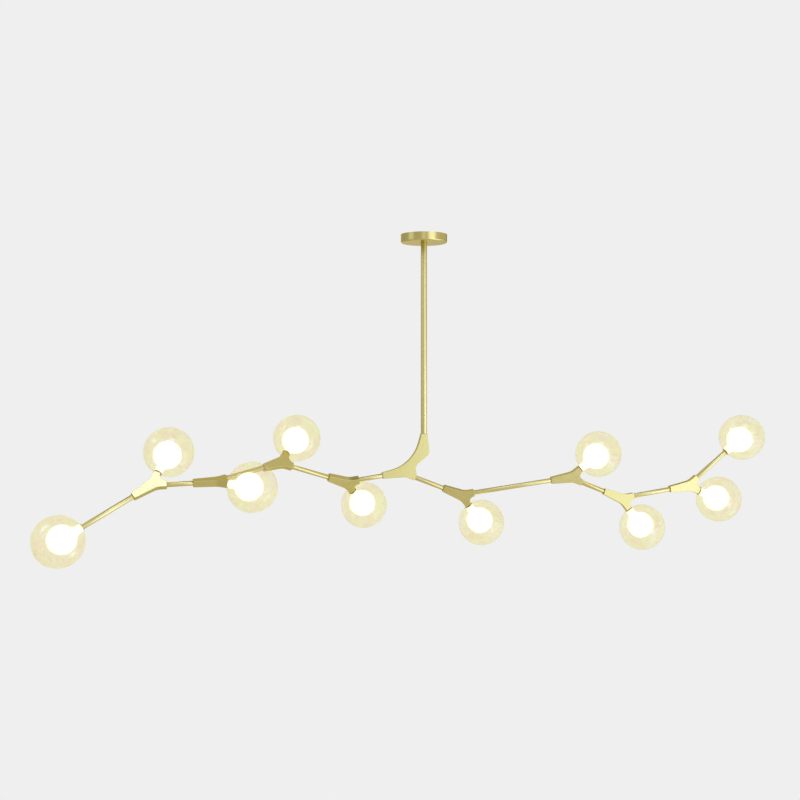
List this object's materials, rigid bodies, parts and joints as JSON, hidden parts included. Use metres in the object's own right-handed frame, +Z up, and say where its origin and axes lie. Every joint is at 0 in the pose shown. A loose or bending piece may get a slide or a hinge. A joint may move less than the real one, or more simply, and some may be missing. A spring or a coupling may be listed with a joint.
{
  "type": "branch chandelier",
  "caption": "Ceiling chandelier: a down rod carries a zigzag branch of forked flat hubs and thin tubes, with a double glass globe at each twig's end.",
  "frame": {"origin": "centre of the ceiling face, on the down rod's axis", "axes": "+Z up to the ceiling, +X along the centre hub's flat plate towards the longest tube, -Y towards the viewer of the picture"},
  "size_m": [1.8746, 0.4032, 0.8272],
  "materials": {
    "satin_brass": "satin",
    "holder_brass": "satin",
    "zinc_steel": "zinc plated",
    "terminal_plastic": "matte",
    "lamp_cover": "frosted",
    "double_glass": "clear amber outer ball, opal inner ball"
  },
  "bodies": {
    "hanger": {"mounting_bracket": "zinc_steel", "threaded_nipple": "zinc_steel", "lock_nut": "zinc_steel", "earth_terminal": "satin_brass", "terminal_block": "terminal_plastic", "canopy": "satin_brass", "down_rod": "satin_brass", "centre_hub": "satin_brass", "tube_5": "satin_brass", "tube_6": "satin_brass"},
    "arm_1": {"hub_1": "satin_brass", "tube_1": "satin_brass", "lampholder_2": "holder_brass", "bulb_2": "lamp_cover", "lampholder_1": "holder_brass", "bulb_1": "lamp_cover"},
    "arm_2": {"hub_2": "satin_brass", "tube_2": "satin_brass", "lampholder_3": "holder_brass", "bulb_3": "lamp_cover"},
    "arm_3": {"hub_3": "satin_brass", "tube_3": "satin_brass", "lampholder_4": "holder_brass", "bulb_4": "lamp_cover"},
    "arm_4": {"hub_4": "satin_brass", "tube_4": "satin_brass", "lampholder_5": "holder_brass", "bulb_5": "lamp_cover"},
    "arm_5": {"hub_5": "satin_brass", "tube_7": "satin_brass", "lampholder_6": "holder_brass", "bulb_6": "lamp_cover"},
    "arm_6": {"hub_6": "satin_brass", "tube_8": "satin_brass", "lampholder_7": "holder_brass", "bulb_7": "lamp_cover"},
    "arm_7": {"hub_7": "satin_brass", "tube_9": "satin_brass", "lampholder_8": "holder_brass", "bulb_8": "lamp_cover"},
    "arm_8": {"hub_8": "satin_brass", "tube_10": "satin_brass", "lampholder_9": "holder_brass", "bulb_9": "lamp_cover", "lampholder_10": "holder_brass", "bulb_10": "lamp_cover"},
    "globe_1": {"shade_1": "double_glass"},
    "globe_2": {"shade_2": "double_glass"},
    "globe_3": {"shade_3": "double_glass"},
    "globe_4": {"shade_4": "double_glass"},
    "globe_5": {"shade_5": "double_glass"},
    "globe_6": {"shade_6": "double_glass"},
    "globe_7": {"shade_7": "double_glass"},
    "globe_8": {"shade_8": "double_glass"},
    "globe_9": {"shade_9": "double_glass"},
    "globe_10": {"shade_10": "double_glass"}
  },
  "joints": [
    {"name": "arm_4_turn", "type": "hinge", "parent": "hanger", "child": "arm_4", "pos_m": [-0.17107, 0, -0.63445], "axis": [-0.9874, 0, -0.1582], "range_deg": [-90, 90]},
    {"name": "arm_3_turn", "type": "hinge", "parent": "arm_4", "child": "arm_3", "pos_m": [-0.34736, -0.04435, -0.59609], "axis": [-0.9139, -0.288, 0.286], "range_deg": [-90, 90]},
    {"name": "arm_2_turn", "type": "hinge", "parent": "arm_3", "child": "arm_2", "pos_m": [-0.51417, -0.13887, -0.61592], "axis": [-0.8318, -0.5227, -0.1871], "range_deg": [-90, 90]},
    {"name": "arm_1_turn", "type": "hinge", "parent": "arm_2", "child": "arm_1", "pos_m": [-0.65444, -0.1616, -0.62752], "axis": [-0.9984, -0.0354, -0.044], "range_deg": [-90, 90]},
    {"name": "arm_5_turn", "type": "hinge", "parent": "hanger", "child": "arm_5", "pos_m": [0.05148, 0, -0.65935], "axis": [0.9323, 0, -0.3616], "range_deg": [-90, 90]},
    {"name": "arm_6_turn", "type": "hinge", "parent": "arm_5", "child": "arm_6", "pos_m": [0.33433, -0.03428, -0.64082], "axis": [0.9782, -0.142, 0.1516], "range_deg": [-90, 90]},
    {"name": "arm_7_turn", "type": "hinge", "parent": "arm_6", "child": "arm_7", "pos_m": [0.47683, -0.04651, -0.67086], "axis": [0.9266, -0.0507, -0.3725], "range_deg": [-90, 90]},
    {"name": "arm_8_turn", "type": "hinge", "parent": "arm_7", "child": "arm_8", "pos_m": [0.65929, -0.05504, -0.6676], "axis": [0.9864, -0.0435, 0.1586], "range_deg": [-90, 90]},
    {"name": "globe_1_lift", "type": "slide", "parent": "arm_1", "child": "globe_1", "axis": [-0.827, -0.2955, -0.4784], "range_m": [0, 0.065]},
    {"name": "globe_2_lift", "type": "slide", "parent": "arm_1", "child": "globe_2", "axis": [0.4193, 0.4711, 0.7761], "range_m": [0, 0.065]},
    {"name": "globe_3_lift", "type": "slide", "parent": "arm_2", "child": "globe_3", "axis": [0.8798, -0.462, -0.1116], "range_m": [0, 0.065]},
    {"name": "globe_4_lift", "type": "slide", "parent": "arm_3", "child": "globe_4", "axis": [0.512, 0.608, 0.6068], "range_m": [0, 0.065]},
    {"name": "globe_5_lift", "type": "slide", "parent": "arm_4", "child": "globe_5", "axis": [0.5793, 0.4937, -0.6485], "range_m": [0, 0.065]},
    {"name": "globe_6_lift", "type": "slide", "parent": "arm_5", "child": "globe_6", "axis": [0.6201, 0.142, -0.7716], "range_m": [0, 0.065]},
    {"name": "globe_7_lift", "type": "slide", "parent": "arm_6", "child": "globe_7", "axis": [0.7503, -0.1926, 0.6324], "range_m": [0, 0.065]},
    {"name": "globe_8_lift", "type": "slide", "parent": "arm_7", "child": "globe_8", "axis": [0.6022, -0.0435, -0.7972], "range_m": [0, 0.065]},
    {"name": "globe_9_lift", "type": "slide", "parent": "arm_8", "child": "globe_9", "axis": [0.928, -0.0193, -0.3721], "range_m": [0, 0.065]},
    {"name": "globe_10_lift", "type": "slide", "parent": "arm_8", "child": "globe_10", "axis": [0.763, -0.0552, 0.644], "range_m": [0, 0.065]}
  ]
}
